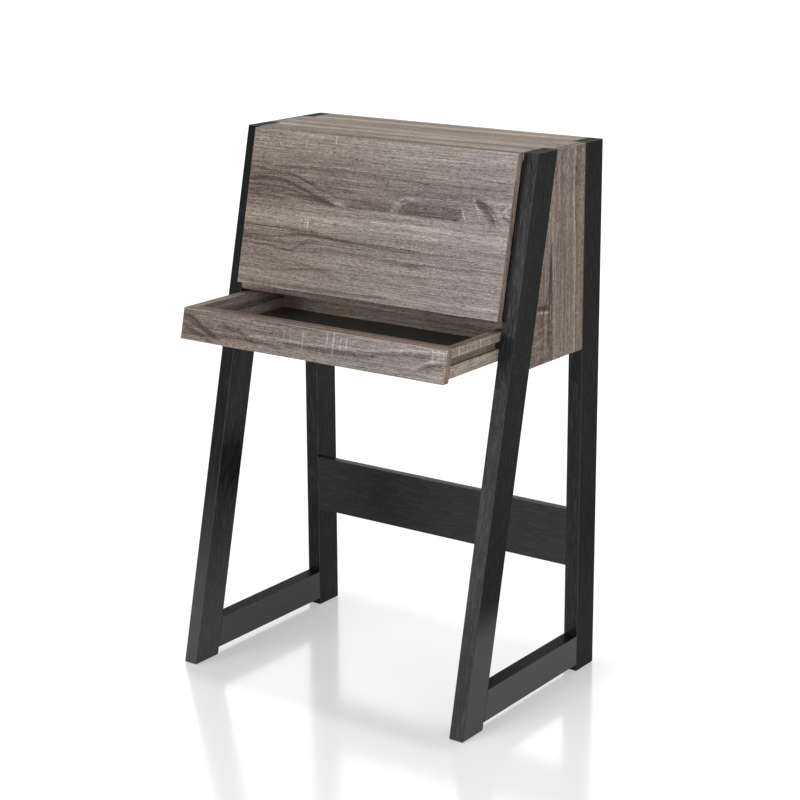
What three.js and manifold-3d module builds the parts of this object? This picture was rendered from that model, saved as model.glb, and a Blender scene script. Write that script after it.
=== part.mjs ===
// A fall-front writing desk: two black A-shaped side frames carry an oak case with a leaning fall front,
// and a shallow drawer runs below it.
// Lengths are millimetres. X runs to the right, Y to the back and Z up from the floor.
// Inside the desk group, Y = 0 is the back face of the back legs.

import * as THREE from "three";
import { mergeVertices } from "three/addons/utils/BufferGeometryUtils.js";
import Module from "manifold-3d";

const wasm = await Module();
wasm.setup();

// Overall sizes
const height = 1050;
const width = 670;
const footDepth = 465;
const topDepth = 228;

// Clearances
const fitGap = 0.3;
const overrun = 20;

// Side frames
const legThickness = 30;
const frontLegDepth = 65;
const backLegDepth = 63;
const railLow = 15;
const railHeight = 60;
const stretcherLow = 217;
const stretcherHeight = 115;
const stretcherThickness = 18;
const glideRadius = 9;
const glideHeight = 3;
const glideProud = 1;

// Case boards
const boardThickness = 15;
const worktopThickness = 12;
const worktopDrop = 300;
const sidePanelHeight = 393;
const backPanelThickness = 12;
const backPanelInset = 3;
const cleatHeight = 20;
const shelfThickness = 12;
const shelfHeightShare = 0.49;
const shelfSetback = 100;
const shelfPinRadius = 2.5;
const shelfPinLength = 16;
const shelfPinInset = 16;

// Fall front
const fallGap = 0.5;
const fallSideGap = 1.5;
const fallEndGap = 0.6;
const fallTopStep = 1;

// Fall hinges
const hingeSpacing = 400;
const hingeLength = 50;
const hingeLeafWidth = 22;
const hingeLeafThickness = 1.5;
const hingeKnuckleRadius = 2.5;
const hingePinRadius = 1.2;
const hingeKnuckleGap = 0.4;
const hingePinGap = 0.2;

// Lid stays
const stayThickness = 2;
const stayArmWidth = 14;
const stayReach = 187;
const stayStandoff = 14;
const stayPivotBack = 62;
const stayPivotUp = 52;
const stayPinRadius = 2.5;
const stayPinGap = 0.4;
const stayHeadRadius = 4.5;
const stayHeadThickness = 1;
const stayPlateHeight = 44;
const stayFootLength = 40;
const stayFootWidth = 26;

// Drawer
const drawerPull = 152;
const drawerTravel = 200;
const drawerTopGap = 6;
const drawerFrontHeight = 59;
const drawerBoxHeight = 52;
const drawerSideThickness = 20;
const drawerBoardThickness = 15;
const drawerBottomThickness = 3;
const drawerRebate = 8;
const drawerSideGap = 1.5;
const drawerBackGap = 12;
const grooveLift = 22;
const grooveHeight = 13.5;
const grooveDepth = 10;
const runnerEndGap = 1;
const runnerSideGap = 1;
const runnerSlack = 1;
const stopWidth = 24;
const stopDepth = 15;
const stopHeight = 10;

// Facets of round forms
const pinSides = 16;
const glideSides = 24;
const arcSteps = 8;

// Materials
const black = new THREE.MeshStandardMaterial({ color: 0x2c2c2e, roughness: 0.55, metalness: 0 });
const oak = new THREE.MeshStandardMaterial({ color: 0x958a81, roughness: 0.6, metalness: 0 });
const blackBoard = new THREE.MeshStandardMaterial({ color: 0x2e2c2a, roughness: 0.65, metalness: 0 });
const runnerBlack = new THREE.MeshStandardMaterial({ color: 0x1c1c1c, roughness: 0.5, metalness: 0 });
const steel = new THREE.MeshStandardMaterial({ color: 0xb6b8ba, roughness: 0.35, metalness: 1 });
const nylon = new THREE.MeshStandardMaterial({ color: 0x34322f, roughness: 0.6, metalness: 0 });

// Lines that the pieces share
const lean = (footDepth - topDepth) / height;
const leanAngle = Math.atan(lean);
const slopeShare = Math.cos(leanAngle);
const outerX = width / 2;
const legInnerX = outerX - legThickness;
const panelInnerX = outerX - boardThickness;
const frontLegRun = frontLegDepth / slopeShare;
const frontLine = (z) => -footDepth + lean * z;
const legBackLine = (z) => frontLine(z) + frontLegRun;
const backPanelFront = -backPanelInset - backPanelThickness;
const topPanelLow = height - boardThickness;
const caseBottom = height - sidePanelHeight;
const worktopTop = height - worktopDrop;
const worktopLow = worktopTop - worktopThickness;
const shelfBottom = worktopTop + shelfHeightShare * (topPanelLow - worktopTop);
const fallFaceRun = (fallGap + boardThickness) / slopeShare;
const hingeAxis = { y: frontLine(worktopTop) - fallGap / slopeShare, z: worktopTop };

// Turns a point of the closed fall's own frame, y into the case and z up the board, to the desk's Y and Z
function onFall(y, z) {
  return {
    y: hingeAxis.y + y * Math.cos(leanAngle) + z * Math.sin(leanAngle),
    z: hingeAxis.z - y * Math.sin(leanAngle) + z * Math.cos(leanAngle),
  };
}

// Joins and cuts
function toSolid(geometry) {
  const bare = geometry.clone();
  bare.deleteAttribute("normal");
  bare.deleteAttribute("uv");
  const merged = mergeVertices(bare);
  const vertProperties = new Float32Array(merged.attributes.position.array);
  const triVerts = new Uint32Array(merged.index.array);
  return new wasm.Manifold(new wasm.Mesh({ numProp: 3, vertProperties, triVerts }));
}

function toGeometry(solid) {
  const mesh = solid.getMesh();
  const geometry = new THREE.BufferGeometry();
  geometry.setAttribute("position", new THREE.BufferAttribute(mesh.vertProperties, 3));
  geometry.setIndex(new THREE.BufferAttribute(mesh.triVerts, 1));
  geometry.computeVertexNormals();
  return geometry;
}

function cut(base, tools) {
  return toGeometry(tools.reduce((rest, tool) => rest.subtract(toSolid(tool)), toSolid(base)));
}

function join(pieces) {
  return toGeometry(pieces.map(toSolid).reduce((all, piece) => all.add(piece)));
}

// Basic forms
function block(x0, x1, y0, y1, z0, z1) {
  const box = new THREE.BoxGeometry(x1 - x0, y1 - y0, z1 - z0);
  return box.translate((x0 + x1) / 2, (y0 + y1) / 2, (z0 + z1) / 2);
}

// A shape drawn with Y to the right and Z up, given its thickness along X
function sideways(shape, x0, x1) {
  const options = { depth: x1 - x0, bevelEnabled: false, curveSegments: arcSteps };
  const geometry = new THREE.ExtrudeGeometry(shape, options);
  const turn = new THREE.Matrix4().makeBasis(
    new THREE.Vector3(0, 1, 0),
    new THREE.Vector3(0, 0, 1),
    new THREE.Vector3(1, 0, 0),
  );
  return geometry.applyMatrix4(turn).translate(x0, 0, 0);
}

function profile(points, x0, x1) {
  const corners = points.map(([y, z]) => new THREE.Vector2(y, z));
  return sideways(new THREE.Shape(corners), x0, x1);
}

function rod(radius, x0, x1, y = 0, z = 0) {
  const cylinder = new THREE.CylinderGeometry(radius, radius, x1 - x0, pinSides);
  return cylinder.rotateZ(Math.PI / 2).translate((x0 + x1) / 2, y, z);
}

function disc(radius, z0, z1, x, y) {
  const cylinder = new THREE.CylinderGeometry(radius, radius, z1 - z0, glideSides);
  return cylinder.rotateX(Math.PI / 2).translate(x, y, (z0 + z1) / 2);
}

// Spans from the inner to the outer distance on one side of the middle, lowest X first
function span(side, inner, outer) {
  return side > 0 ? [inner, outer] : [-outer, -inner];
}

function piece(name, geometry, material) {
  const mesh = new THREE.Mesh(geometry, material);
  mesh.name = name;
  return mesh;
}

const hands = [
  { side: -1, hand: "left" },
  { side: 1, hand: "right" },
];

// Side frames
function frontLegPoints(low, high, ahead, behind) {
  return [
    [frontLine(low) - ahead, low],
    [legBackLine(low) + behind, low],
    [legBackLine(high) + behind, high],
    [frontLine(high) - ahead, high],
  ];
}

function glideY(isFront) {
  return isFront ? (frontLine(glideProud) + legBackLine(glideProud)) / 2 : -backLegDepth / 2;
}

function glidePocket(side, isFront) {
  const pocketTop = glideHeight + fitGap;
  const middleX = side * (outerX - legThickness / 2);
  return disc(glideRadius + fitGap, glideProud - overrun, pocketTop, middleX, glideY(isFront));
}

function frontLeg(side) {
  const body = profile(frontLegPoints(glideProud, height, 0, 0), ...span(side, legInnerX, outerX));
  return cut(body, [glidePocket(side, true)]);
}

function backLeg(side) {
  const body = block(...span(side, legInnerX, outerX), -backLegDepth, 0, glideProud, height);
  return cut(body, [glidePocket(side, false)]);
}

function bottomRail(side) {
  const railTop = railLow + railHeight;
  const points = [
    [legBackLine(railLow) + fitGap, railLow],
    [-backLegDepth - fitGap, railLow],
    [-backLegDepth - fitGap, railTop],
    [legBackLine(railTop) + fitGap, railTop],
  ];
  return profile(points, ...span(side, legInnerX, outerX));
}

function glide(side, isFront) {
  const middleX = side * (outerX - legThickness / 2);
  return disc(glideRadius, 0, glideHeight, middleX, glideY(isFront));
}

function frames() {
  const group = new THREE.Group();
  for (const { side, hand } of hands) {
    group.add(piece("front_leg_" + hand, frontLeg(side), black));
    group.add(piece("back_leg_" + hand, backLeg(side), black));
    group.add(piece("bottom_rail_" + hand, bottomRail(side), black));
    group.add(piece("front_glide_" + hand, glide(side, true), nylon));
    group.add(piece("back_glide_" + hand, glide(side, false), nylon));
  }
  const reach = legInnerX - fitGap;
  const stretcher = block(
    -reach,
    reach,
    -backLegDepth,
    -backLegDepth + stretcherThickness,
    stretcherLow,
    stretcherLow + stretcherHeight,
  );
  group.add(piece("rear_stretcher", stretcher, black));
  return group;
}

// Case
function legCutters(low, high) {
  const bottom = low - overrun;
  const top = high + overrun;
  return hands.flatMap(({ side }) => {
    const across = span(side, legInnerX - fitGap, outerX + overrun);
    return [
      profile(frontLegPoints(bottom, top, overrun, fitGap), ...across),
      block(...across, -backLegDepth - fitGap, overrun, bottom, top),
    ];
  });
}

function levelBoard(frontAt, back, low, high) {
  const reach = panelInnerX - fitGap;
  const points = [
    [frontAt(low), low],
    [back, low],
    [back, high],
    [frontAt(high), high],
  ];
  return cut(profile(points, -reach, reach), legCutters(low, high));
}

function hingeMiddle(side) {
  return (side * hingeSpacing) / 2;
}

function hingeSpan(side, margin) {
  const middle = hingeMiddle(side);
  return [middle - hingeLength / 2 - margin, middle + hingeLength / 2 + margin];
}

function worktop() {
  const board = levelBoard(() => frontLine(worktopTop), backPanelFront - fitGap, worktopLow, worktopTop);
  const leafDepth = hingeLeafThickness + fitGap;
  const recesses = hands.flatMap(({ side }) => {
    const across = hingeSpan(side, fitGap);
    const leafBack = hingeAxis.y + hingeLeafWidth + fitGap;
    return [
      block(...across, hingeAxis.y - overrun, leafBack, worktopTop - leafDepth, worktopTop + overrun),
      rod(hingeKnuckleRadius + hingeKnuckleGap, ...across, hingeAxis.y, hingeAxis.z),
    ];
  });
  return cut(board, recesses);
}

function topPanel() {
  return levelBoard(frontLine, 0, topPanelLow, height);
}

function sidePanel(side) {
  const points = [
    [legBackLine(caseBottom) + fitGap, caseBottom],
    [-backLegDepth - fitGap, caseBottom],
    [-backLegDepth - fitGap, height],
    [legBackLine(height) + fitGap, height],
  ];
  const body = profile(points, ...span(side, panelInnerX, outerX));
  const holes = shelfPinPlaces().map((y) =>
    rod(
      shelfPinRadius + fitGap,
      ...span(side, panelInnerX - overrun, panelInnerX + shelfPinLength / 2 + fitGap),
      y,
      shelfPinZ(),
    ),
  );
  return cut(body, holes);
}

function shelfFront() {
  return frontLine(shelfBottom) + shelfSetback;
}

function shelfPinZ() {
  return shelfBottom - fitGap - shelfPinRadius;
}

function shelfPinPlaces() {
  return [shelfFront() + shelfPinInset, -backLegDepth - fitGap - shelfPinInset];
}

function shelfPin(side, y) {
  const half = shelfPinLength / 2;
  return rod(shelfPinRadius, ...span(side, panelInnerX - half, panelInnerX + half), y, shelfPinZ());
}

function backPanel() {
  const reach = legInnerX - fitGap;
  return block(-reach, reach, backPanelFront, -backPanelInset, caseBottom, topPanelLow - fitGap);
}

function cleat(side, top) {
  const low = top - fitGap - cleatHeight;
  const high = top - fitGap;
  const points = [
    [legBackLine(low) + fitGap, low],
    [-backLegDepth - fitGap, low],
    [-backLegDepth - fitGap, high],
    [legBackLine(high) + fitGap, high],
  ];
  return profile(points, ...span(side, legInnerX, panelInnerX - fitGap));
}

function shelf() {
  return levelBoard(shelfFront, backPanelFront - fitGap, shelfBottom, shelfBottom + shelfThickness);
}

function divider() {
  const half = shelfThickness / 2;
  const back = backPanelFront - fitGap;
  return block(-half, half, shelfFront(), back, worktopTop + fitGap, shelfBottom - fitGap);
}

function caseWork() {
  const group = new THREE.Group();
  group.add(piece("top_panel", topPanel(), oak));
  group.add(piece("worktop", worktop(), oak));
  group.add(piece("back_panel", backPanel(), oak));
  group.add(piece("inner_shelf", shelf(), oak));
  group.add(piece("shelf_divider", divider(), oak));
  for (const { side, hand } of hands) {
    group.add(piece("side_panel_" + hand, sidePanel(side), oak));
    group.add(piece("worktop_cleat_" + hand, cleat(side, worktopLow), black));
    group.add(piece("top_cleat_" + hand, cleat(side, topPanelLow), black));
    const [frontPlace, backPlace] = shelfPinPlaces();
    group.add(piece("shelf_pin_front_" + hand, shelfPin(side, frontPlace), steel));
    group.add(piece("shelf_pin_back_" + hand, shelfPin(side, backPlace), steel));
  }
  return group;
}

// Hinge leaves, drawn flat with the axis at y = z = 0 and the leaf running along +Y.
// The outer leaf's face is its top, at z = 0, and the inner leaf's face is its underside.
function knuckleSpans(middle, isOuter) {
  const third = hingeLength / 3;
  const half = hingeLength / 2;
  const slack = hingeKnuckleGap / 2;
  return isOuter
    ? [
        [middle - half, middle - half + third - slack],
        [middle + half - third + slack, middle + half],
      ]
    : [[middle - third / 2 + slack, middle + third / 2 - slack]];
}

function hingeLeaf(side, isOuter) {
  const clear = hingeKnuckleRadius + hingeKnuckleGap;
  const layer = isOuter ? [-hingeLeafThickness, 0] : [0, hingeLeafThickness];
  const plate = block(...hingeSpan(side, 0), clear, hingeLeafWidth, ...layer);
  const knuckles = knuckleSpans(hingeMiddle(side), isOuter).flatMap((across) => [
    rod(hingeKnuckleRadius, ...across),
    block(...across, 0, clear + fitGap, ...layer),
  ]);
  const bore = rod(hingePinRadius + hingePinGap, ...hingeSpan(side, overrun));
  return cut(join([plate, ...knuckles]), [bore]);
}

function caseHinges() {
  const group = new THREE.Group();
  for (const { side, hand } of hands) {
    group.add(piece("hinge_case_leaf_" + hand, hingeLeaf(side, true), steel));
    group.add(piece("hinge_pin_" + hand, rod(hingePinRadius, ...hingeSpan(side, 0)), steel));
  }
  group.position.set(0, hingeAxis.y, hingeAxis.z);
  return group;
}

// Fall front, drawn upright with the hinge axis at y = z = 0 and its inner face at y = 0
function fallBoard() {
  const reach = legInnerX - fallSideGap;
  const levelTop = height - fallTopStep - hingeAxis.z;
  const topAt = (y) => (levelTop + y * Math.sin(leanAngle)) / Math.cos(leanAngle);
  const points = [
    [-boardThickness, fallEndGap],
    [0, fallEndGap],
    [0, topAt(0)],
    [-boardThickness, topAt(-boardThickness)],
  ];
  const leafDepth = hingeLeafThickness + fitGap;
  const recesses = hands.flatMap(({ side }) => {
    const across = hingeSpan(side, fitGap);
    return [
      block(...across, -leafDepth, overrun, -overrun, hingeLeafWidth + fitGap),
      rod(hingeKnuckleRadius + hingeKnuckleGap, ...across),
    ];
  });
  return cut(profile(points, -reach, reach), recesses);
}

// Distances of the stay's layers from the middle of the desk, from the leg inwards
const stayPlateX = legInnerX - stayThickness;
const longArmX = stayPlateX - fitGap - stayThickness;
const shortArmX = longArmX - fitGap - stayThickness;
const stayFootX = shortArmX - fitGap - stayThickness;

function roundedBar(length, barWidth) {
  const radius = barWidth / 2;
  const shape = new THREE.Shape();
  shape.absarc(0, 0, radius, Math.PI / 2, (3 * Math.PI) / 2);
  shape.absarc(length, 0, radius, -Math.PI / 2, Math.PI / 2);
  shape.closePath();
  return shape;
}

function punched(shape, y, z) {
  const hole = new THREE.Path();
  hole.absarc(y, z, stayPinRadius + stayPinGap, 0, 2 * Math.PI);
  shape.holes.push(hole);
  return shape;
}

// A rivet from the outer face of one layer through the next layer inwards, with its head on the far side
function rivetInwards(side, outer, far, y, z) {
  const neck = rod(stayPinRadius, ...span(side, far - fitGap - stayHeadThickness, outer), y, z);
  const head = rod(stayHeadRadius, ...span(side, far - fitGap - stayHeadThickness, far - fitGap), y, z);
  return [neck, head];
}

function stayPlate(side) {
  const half = stayPlateHeight / 2;
  const reach = stayArmWidth / 2;
  const plate = block(...span(side, stayPlateX, legInnerX - fitGap), -reach, reach, -half, half);
  return join([plate, ...rivetInwards(side, legInnerX - fitGap, longArmX, 0, 0)]);
}

const longArmLength = Math.hypot(stayReach, stayStandoff);
const shortArmLength = Math.hypot(stayPivotBack, stayPivotUp);

function longArm(side) {
  const shape = punched(roundedBar(longArmLength, stayArmWidth), 0, 0);
  const bar = sideways(shape, ...span(side, longArmX, longArmX + stayThickness));
  return join([bar, ...rivetInwards(side, longArmX + stayThickness, shortArmX, longArmLength, 0)]);
}

function shortArm(side) {
  const shape = punched(roundedBar(shortArmLength, stayArmWidth), 0, 0);
  punched(shape, shortArmLength, 0);
  return sideways(shape, ...span(side, shortArmX, shortArmX + stayThickness));
}

function stayFoot(side) {
  const half = stayFootLength / 2;
  const baseInner = stayFootX + stayThickness - stayFootWidth;
  const base = block(
    ...span(side, baseInner, stayFootX + stayThickness),
    fitGap,
    stayThickness + fitGap,
    stayReach - half,
    stayReach + half,
  );
  const ear = new THREE.Shape();
  ear.moveTo(fitGap, stayReach - stayArmWidth / 2);
  ear.lineTo(stayStandoff, stayReach - stayArmWidth / 2);
  ear.absarc(stayStandoff, stayReach, stayArmWidth / 2, -Math.PI / 2, Math.PI / 2);
  ear.lineTo(fitGap, stayReach + stayArmWidth / 2);
  ear.closePath();
  const earPlate = sideways(ear, ...span(side, stayFootX, stayFootX + stayThickness));
  const headInner = shortArmX + stayThickness + fitGap;
  const headOuter = headInner + stayHeadThickness;
  const neck = rod(stayPinRadius, ...span(side, stayFootX, headOuter), stayStandoff, stayReach);
  const head = rod(stayHeadRadius, ...span(side, headInner, headOuter), stayStandoff, stayReach);
  return join([base, earPlate, neck, head]);
}

function fall() {
  const group = new THREE.Group();
  group.add(piece("fall_front", fallBoard(), oak));
  for (const { side, hand } of hands) {
    const leaf = hingeLeaf(side, false).rotateX(Math.PI / 2);
    group.add(piece("hinge_fall_leaf_" + hand, leaf, steel));
    group.add(piece("stay_foot_" + hand, stayFoot(side), steel));
  }
  group.position.set(0, hingeAxis.y, hingeAxis.z);
  group.rotation.x = -leanAngle;
  return group;
}

function placed(mesh, y, z, angle) {
  mesh.position.set(0, y, z);
  mesh.rotation.x = angle;
  return mesh;
}

// The arms and the fall make a parallelogram: the long arm stays parallel to the line from the fall's hinge to
// the pin of the stay's foot.
function stays() {
  const group = new THREE.Group();
  const pivot = { y: hingeAxis.y + stayPivotBack, z: hingeAxis.z + stayPivotUp };
  const foot = onFall(stayStandoff, stayReach);
  const longAngle = Math.atan2(stayReach, stayStandoff) - leanAngle;
  const shortAngle = Math.atan2(stayPivotUp, stayPivotBack);
  for (const { side, hand } of hands) {
    group.add(placed(piece("stay_plate_" + hand, stayPlate(side), steel), pivot.y, pivot.z, 0));
    group.add(placed(piece("stay_long_arm_" + hand, longArm(side), steel), pivot.y, pivot.z, longAngle));
    group.add(placed(piece("stay_short_arm_" + hand, shortArm(side), steel), foot.y, foot.z, shortAngle));
  }
  return group;
}

// Drawer, drawn closed and then pulled out
const drawerOuterX = legInnerX - drawerSideGap;
const drawerInnerX = drawerOuterX - drawerSideThickness;
const drawerBack = backPanelFront - drawerBackGap;
const drawerTop = worktopLow - drawerTopGap;
const drawerFrontLow = drawerTop - drawerFrontHeight;
const drawerBoxLow = drawerTop - drawerBoxHeight;
const grooveLow = drawerBoxLow + grooveLift;
const runnerLow = grooveLow + runnerSlack;
const runnerHigh = grooveLow + grooveHeight - fitGap;
const overlayLine = (z, offset) => frontLine(z) + offset / slopeShare;

function leaningBoard(nearOffset, farOffset, low, high, x0, x1) {
  const points = [
    [overlayLine(low, nearOffset), low],
    [overlayLine(low, farOffset), low],
    [overlayLine(high, farOffset), high],
    [overlayLine(high, nearOffset), high],
  ];
  return profile(points, x0, x1);
}

function drawerFront() {
  const near = -fallGap - boardThickness;
  return leaningBoard(near, -fallGap, drawerFrontLow, drawerTop, -drawerOuterX, drawerOuterX);
}

function drawerInnerFront() {
  const near = -fallGap + fitGap;
  const low = drawerBoxLow + drawerBottomThickness + fitGap;
  const reach = drawerInnerX - fitGap;
  return leaningBoard(near, near + drawerBoardThickness, low, drawerTop, -reach, reach);
}

function drawerSide(side) {
  const points = [
    [overlayLine(drawerBoxLow, -fallGap + fitGap), drawerBoxLow],
    [drawerBack, drawerBoxLow],
    [drawerBack, drawerTop],
    [overlayLine(drawerTop, -fallGap + fitGap), drawerTop],
  ];
  const body = profile(points, ...span(side, drawerInnerX, drawerOuterX));
  const front = frontLine(drawerBoxLow) - overrun;
  const grooveTop = grooveLow + grooveHeight;
  const grooveAcross = span(side, drawerOuterX - grooveDepth, drawerOuterX + overrun);
  const groove = block(...grooveAcross, front, overrun, grooveLow, grooveTop);
  const rebateTop = drawerBoxLow + drawerBottomThickness + fitGap;
  const rebateAcross = span(side, drawerInnerX - overrun, drawerInnerX + drawerRebate);
  const rebate = block(...rebateAcross, front, overrun, drawerBoxLow - overrun, rebateTop);
  return cut(body, [groove, rebate]);
}

function drawerBackBoard() {
  const reach = drawerInnerX - fitGap;
  const low = drawerBoxLow + drawerBottomThickness + fitGap;
  return block(-reach, reach, drawerBack - drawerBoardThickness, drawerBack, low, drawerTop);
}

function drawerBottom() {
  const reach = drawerInnerX + drawerRebate - fitGap;
  const high = drawerBoxLow + drawerBottomThickness;
  const points = [
    [overlayLine(drawerBoxLow, -fallGap + fitGap), drawerBoxLow],
    [drawerBack, drawerBoxLow],
    [drawerBack, high],
    [overlayLine(high, -fallGap + fitGap), high],
  ];
  return profile(points, -reach, reach);
}

function drawer() {
  const group = new THREE.Group();
  group.add(piece("drawer_front", drawerFront(), oak));
  group.add(piece("drawer_inner_front", drawerInnerFront(), oak));
  group.add(piece("drawer_back", drawerBackBoard(), oak));
  group.add(piece("drawer_bottom", drawerBottom(), blackBoard));
  for (const { side, hand } of hands) {
    group.add(piece("drawer_side_" + hand, drawerSide(side), oak));
  }
  group.position.y = -drawerPull;
  return group;
}

function runner(side) {
  const inner = drawerOuterX - grooveDepth + runnerSideGap;
  const front = frontLine(runnerHigh) + runnerEndGap;
  const across = span(side, inner, legInnerX - fitGap);
  return block(...across, front, backPanelFront - fitGap, runnerLow, runnerHigh);
}

function drawerStop() {
  const half = stopWidth / 2;
  const back = drawerBack - drawerBoardThickness - drawerTravel;
  const high = worktopLow - fitGap;
  return block(-half, half, back - stopDepth, back, high - stopHeight, high);
}

function drawerFittings() {
  const group = new THREE.Group();
  for (const { side, hand } of hands) {
    group.add(piece("drawer_runner_" + hand, runner(side), runnerBlack));
  }
  group.add(piece("drawer_stop", drawerStop(), runnerBlack));
  return group;
}

// The desk stands with its origin on the floor, midway between its back and the front of the open drawer
const desk = new THREE.Group();
desk.add(frames(), caseWork(), caseHinges(), fall(), stays(), drawerFittings(), drawer());
desk.position.y = (drawerPull + fallFaceRun - frontLine(drawerFrontLow)) / 2;

export default desk;
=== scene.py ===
# %% [markdown]
# A fall-front writing desk. Two black side frames, shaped like a leaning letter A, carry a small oak
# case. A leaning flap closes the case and folds down to write on, and a shallow drawer runs below it.
# This lesson dresses the fixed CAD frame: boards get softened edges and a printed oak finish, the frames
# get a black embossed finish, and the metal fittings get screws and a brushed look.

import math

import bpy
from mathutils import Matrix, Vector


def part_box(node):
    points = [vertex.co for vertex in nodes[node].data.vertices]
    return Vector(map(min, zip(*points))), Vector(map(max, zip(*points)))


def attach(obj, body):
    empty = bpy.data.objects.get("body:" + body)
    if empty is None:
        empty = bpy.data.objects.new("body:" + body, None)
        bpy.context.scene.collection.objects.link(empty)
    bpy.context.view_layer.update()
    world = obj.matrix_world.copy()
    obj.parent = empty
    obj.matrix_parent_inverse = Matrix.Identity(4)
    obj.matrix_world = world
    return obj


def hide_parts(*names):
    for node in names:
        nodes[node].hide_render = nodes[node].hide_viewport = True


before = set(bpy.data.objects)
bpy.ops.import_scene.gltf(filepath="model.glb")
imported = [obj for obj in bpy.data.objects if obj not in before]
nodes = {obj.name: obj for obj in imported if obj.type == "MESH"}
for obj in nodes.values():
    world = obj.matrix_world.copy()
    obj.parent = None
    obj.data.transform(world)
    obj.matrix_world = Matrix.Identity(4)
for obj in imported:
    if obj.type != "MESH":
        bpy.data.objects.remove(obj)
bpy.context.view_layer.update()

# %% [markdown]
# The camera stands to the right of the desk, a little above it, with a long lens, so that the legs stay
# nearly upright. Its place was found by matching corners of the desk with the photograph. The small shift
# moves the picture without turning the camera.

# %% Camera
CAMERA_PLACE = (2.23211, -3.04229, 1.58539)
CAMERA_TURN = 0.60458
CAMERA_DIP = 0.25539
LENS = 91.226
SENSOR = 36.0
SHIFT_X = -0.05
SHIFT_Y = -0.035
SEES_TO = 200

camera_data = bpy.data.cameras.new("desk_camera")
camera_data.sensor_width = SENSOR
camera_data.lens = LENS
camera_data.shift_x = SHIFT_X
camera_data.shift_y = SHIFT_Y
camera_data.clip_end = SEES_TO
camera = bpy.data.objects.new("desk_camera", camera_data)
camera.location = CAMERA_PLACE
camera.rotation_euler = (math.pi / 2 - CAMERA_DIP, 0, CAMERA_TURN)
bpy.context.scene.collection.objects.link(camera)
bpy.context.scene.camera = camera
bpy.context.scene.view_settings.view_transform = "Standard"
print("camera lens", LENS, "mm")

# %% [markdown]
# The desk's own lines. The front legs lean, and the flap, the drawer front and the ends of the drawer all
# share that lean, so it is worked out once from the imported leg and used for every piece. Neighbouring
# pieces leave a little room between them.

# %% Lines of the desk
X = Vector((1, 0, 0))
Y = Vector((0, 1, 0))
Z = Vector((0, 0, 1))
MM = 0.001
ROOM = 0.3 * MM
LEG_RUN = 66.63 * MM
OUT = {"left": -1, "right": 1}
leg_low, leg_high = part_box("front_leg_right")
LEAN = (leg_high.y - leg_low.y - LEG_RUN) / (leg_high.z - leg_low.z)
LEAN_ANGLE = math.atan(LEAN)
UP_BOARD = Vector((0, math.sin(LEAN_ANGLE), math.cos(LEAN_ANGLE)))
OUT_OF_BOARD = Vector((0, -math.cos(LEAN_ANGLE), math.sin(LEAN_ANGLE)))
HINGE_LINE = Vector((0, -55.735, 750)) * MM


def behind_leg(height):
    """Where a board starts that leaves room behind the leaning leg at this height."""
    return leg_high.y - LEAN * (leg_high.z - height) + ROOM


print("the front leans by", round(math.degrees(LEAN_ANGLE), 3), "degrees")

# %% [markdown]
# Small helpers for modelling by hand in code. Everything is deselected first, then the wanted corners or
# faces are chosen by their place or direction, and only then does an operator act.

# %% Helpers for modelling
def only(*pieces):
    """Selects these pieces and nothing else, and makes the last one active."""
    bpy.ops.object.select_all(action="DESELECT")
    for piece in pieces:
        piece.select_set(True)
    bpy.context.view_layer.objects.active = pieces[-1]


def placed(name):
    """Names the piece just made, and moves its place, turn and size into its mesh."""
    piece = bpy.context.active_object
    piece.name = name
    piece.data.name = name
    bpy.ops.object.transform_apply(location=True, rotation=True, scale=True)
    return piece


def start_block(name, low, high):
    """Adds a cube at the size and place of a board, as the start of a piece."""
    bpy.ops.object.select_all(action="DESELECT")
    low = Vector(low)
    high = Vector(high)
    bpy.ops.mesh.primitive_cube_add(size=1, location=(low + high) / 2, scale=high - low)
    return placed(name)


def start_rod(name, sides, radius, length, middle, turn=(0, 0, 0)):
    """Adds a cylinder at its size and place."""
    bpy.ops.object.select_all(action="DESELECT")
    bpy.ops.mesh.primitive_cylinder_add(vertices=sides, radius=radius, depth=length, location=middle,
                                        rotation=turn)
    return placed(name)


def choose(piece, kind, test):
    """Opens a piece for editing with only the corners or faces selected that pass the test."""
    only(piece)
    mesh = piece.data
    bpy.context.tool_settings.mesh_select_mode = (kind == "VERT", False, kind == "FACE")
    for group in (mesh.vertices, mesh.edges, mesh.polygons):
        for part in group:
            part.select = False
    if kind == "FACE":
        for face in mesh.polygons:
            face.select = test(face.center, face.normal)
    if kind == "VERT":
        for point in mesh.vertices:
            point.select = test(point.co, point.normal)
    bpy.ops.object.mode_set(mode="EDIT")


def done():
    """Closes the piece that is being edited."""
    bpy.ops.object.mode_set(mode="OBJECT")


def move_back(piece, kind, test, step):
    """Moves the parts that pass the test backwards."""
    choose(piece, kind, test)
    bpy.ops.transform.translate(value=(0, step, 0))
    done()


def move_top_edge(piece, low, high, step):
    """Moves a block's upper front edge backwards."""
    move_back(piece, "VERT", lambda place, normal: place.z > high.z - MM and place.y < low.y + MM, step)


def cut(piece, point, direction, take_off=False):
    """Cuts new edges round a piece where a plane crosses it. The side it points to can be taken off."""
    choose(piece, "FACE", lambda place, normal: True)
    bpy.ops.mesh.bisect(plane_co=point, plane_no=direction, use_fill=take_off, clear_outer=take_off)
    done()


def pull_out(piece, test, step):
    """Extrudes the faces that pass the test sideways."""
    choose(piece, "FACE", test)
    bpy.ops.mesh.extrude_region_move(TRANSFORM_OT_translate={"value": (step, 0, 0)})
    done()


def modify(piece, kind, **settings):
    """Adds a modifier with these settings and applies it."""
    only(piece)
    modifier = piece.modifiers.new(kind, kind)
    for name, value in settings.items():
        setattr(modifier, name, value)
    bpy.ops.object.modifier_apply(modifier=modifier.name)


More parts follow.
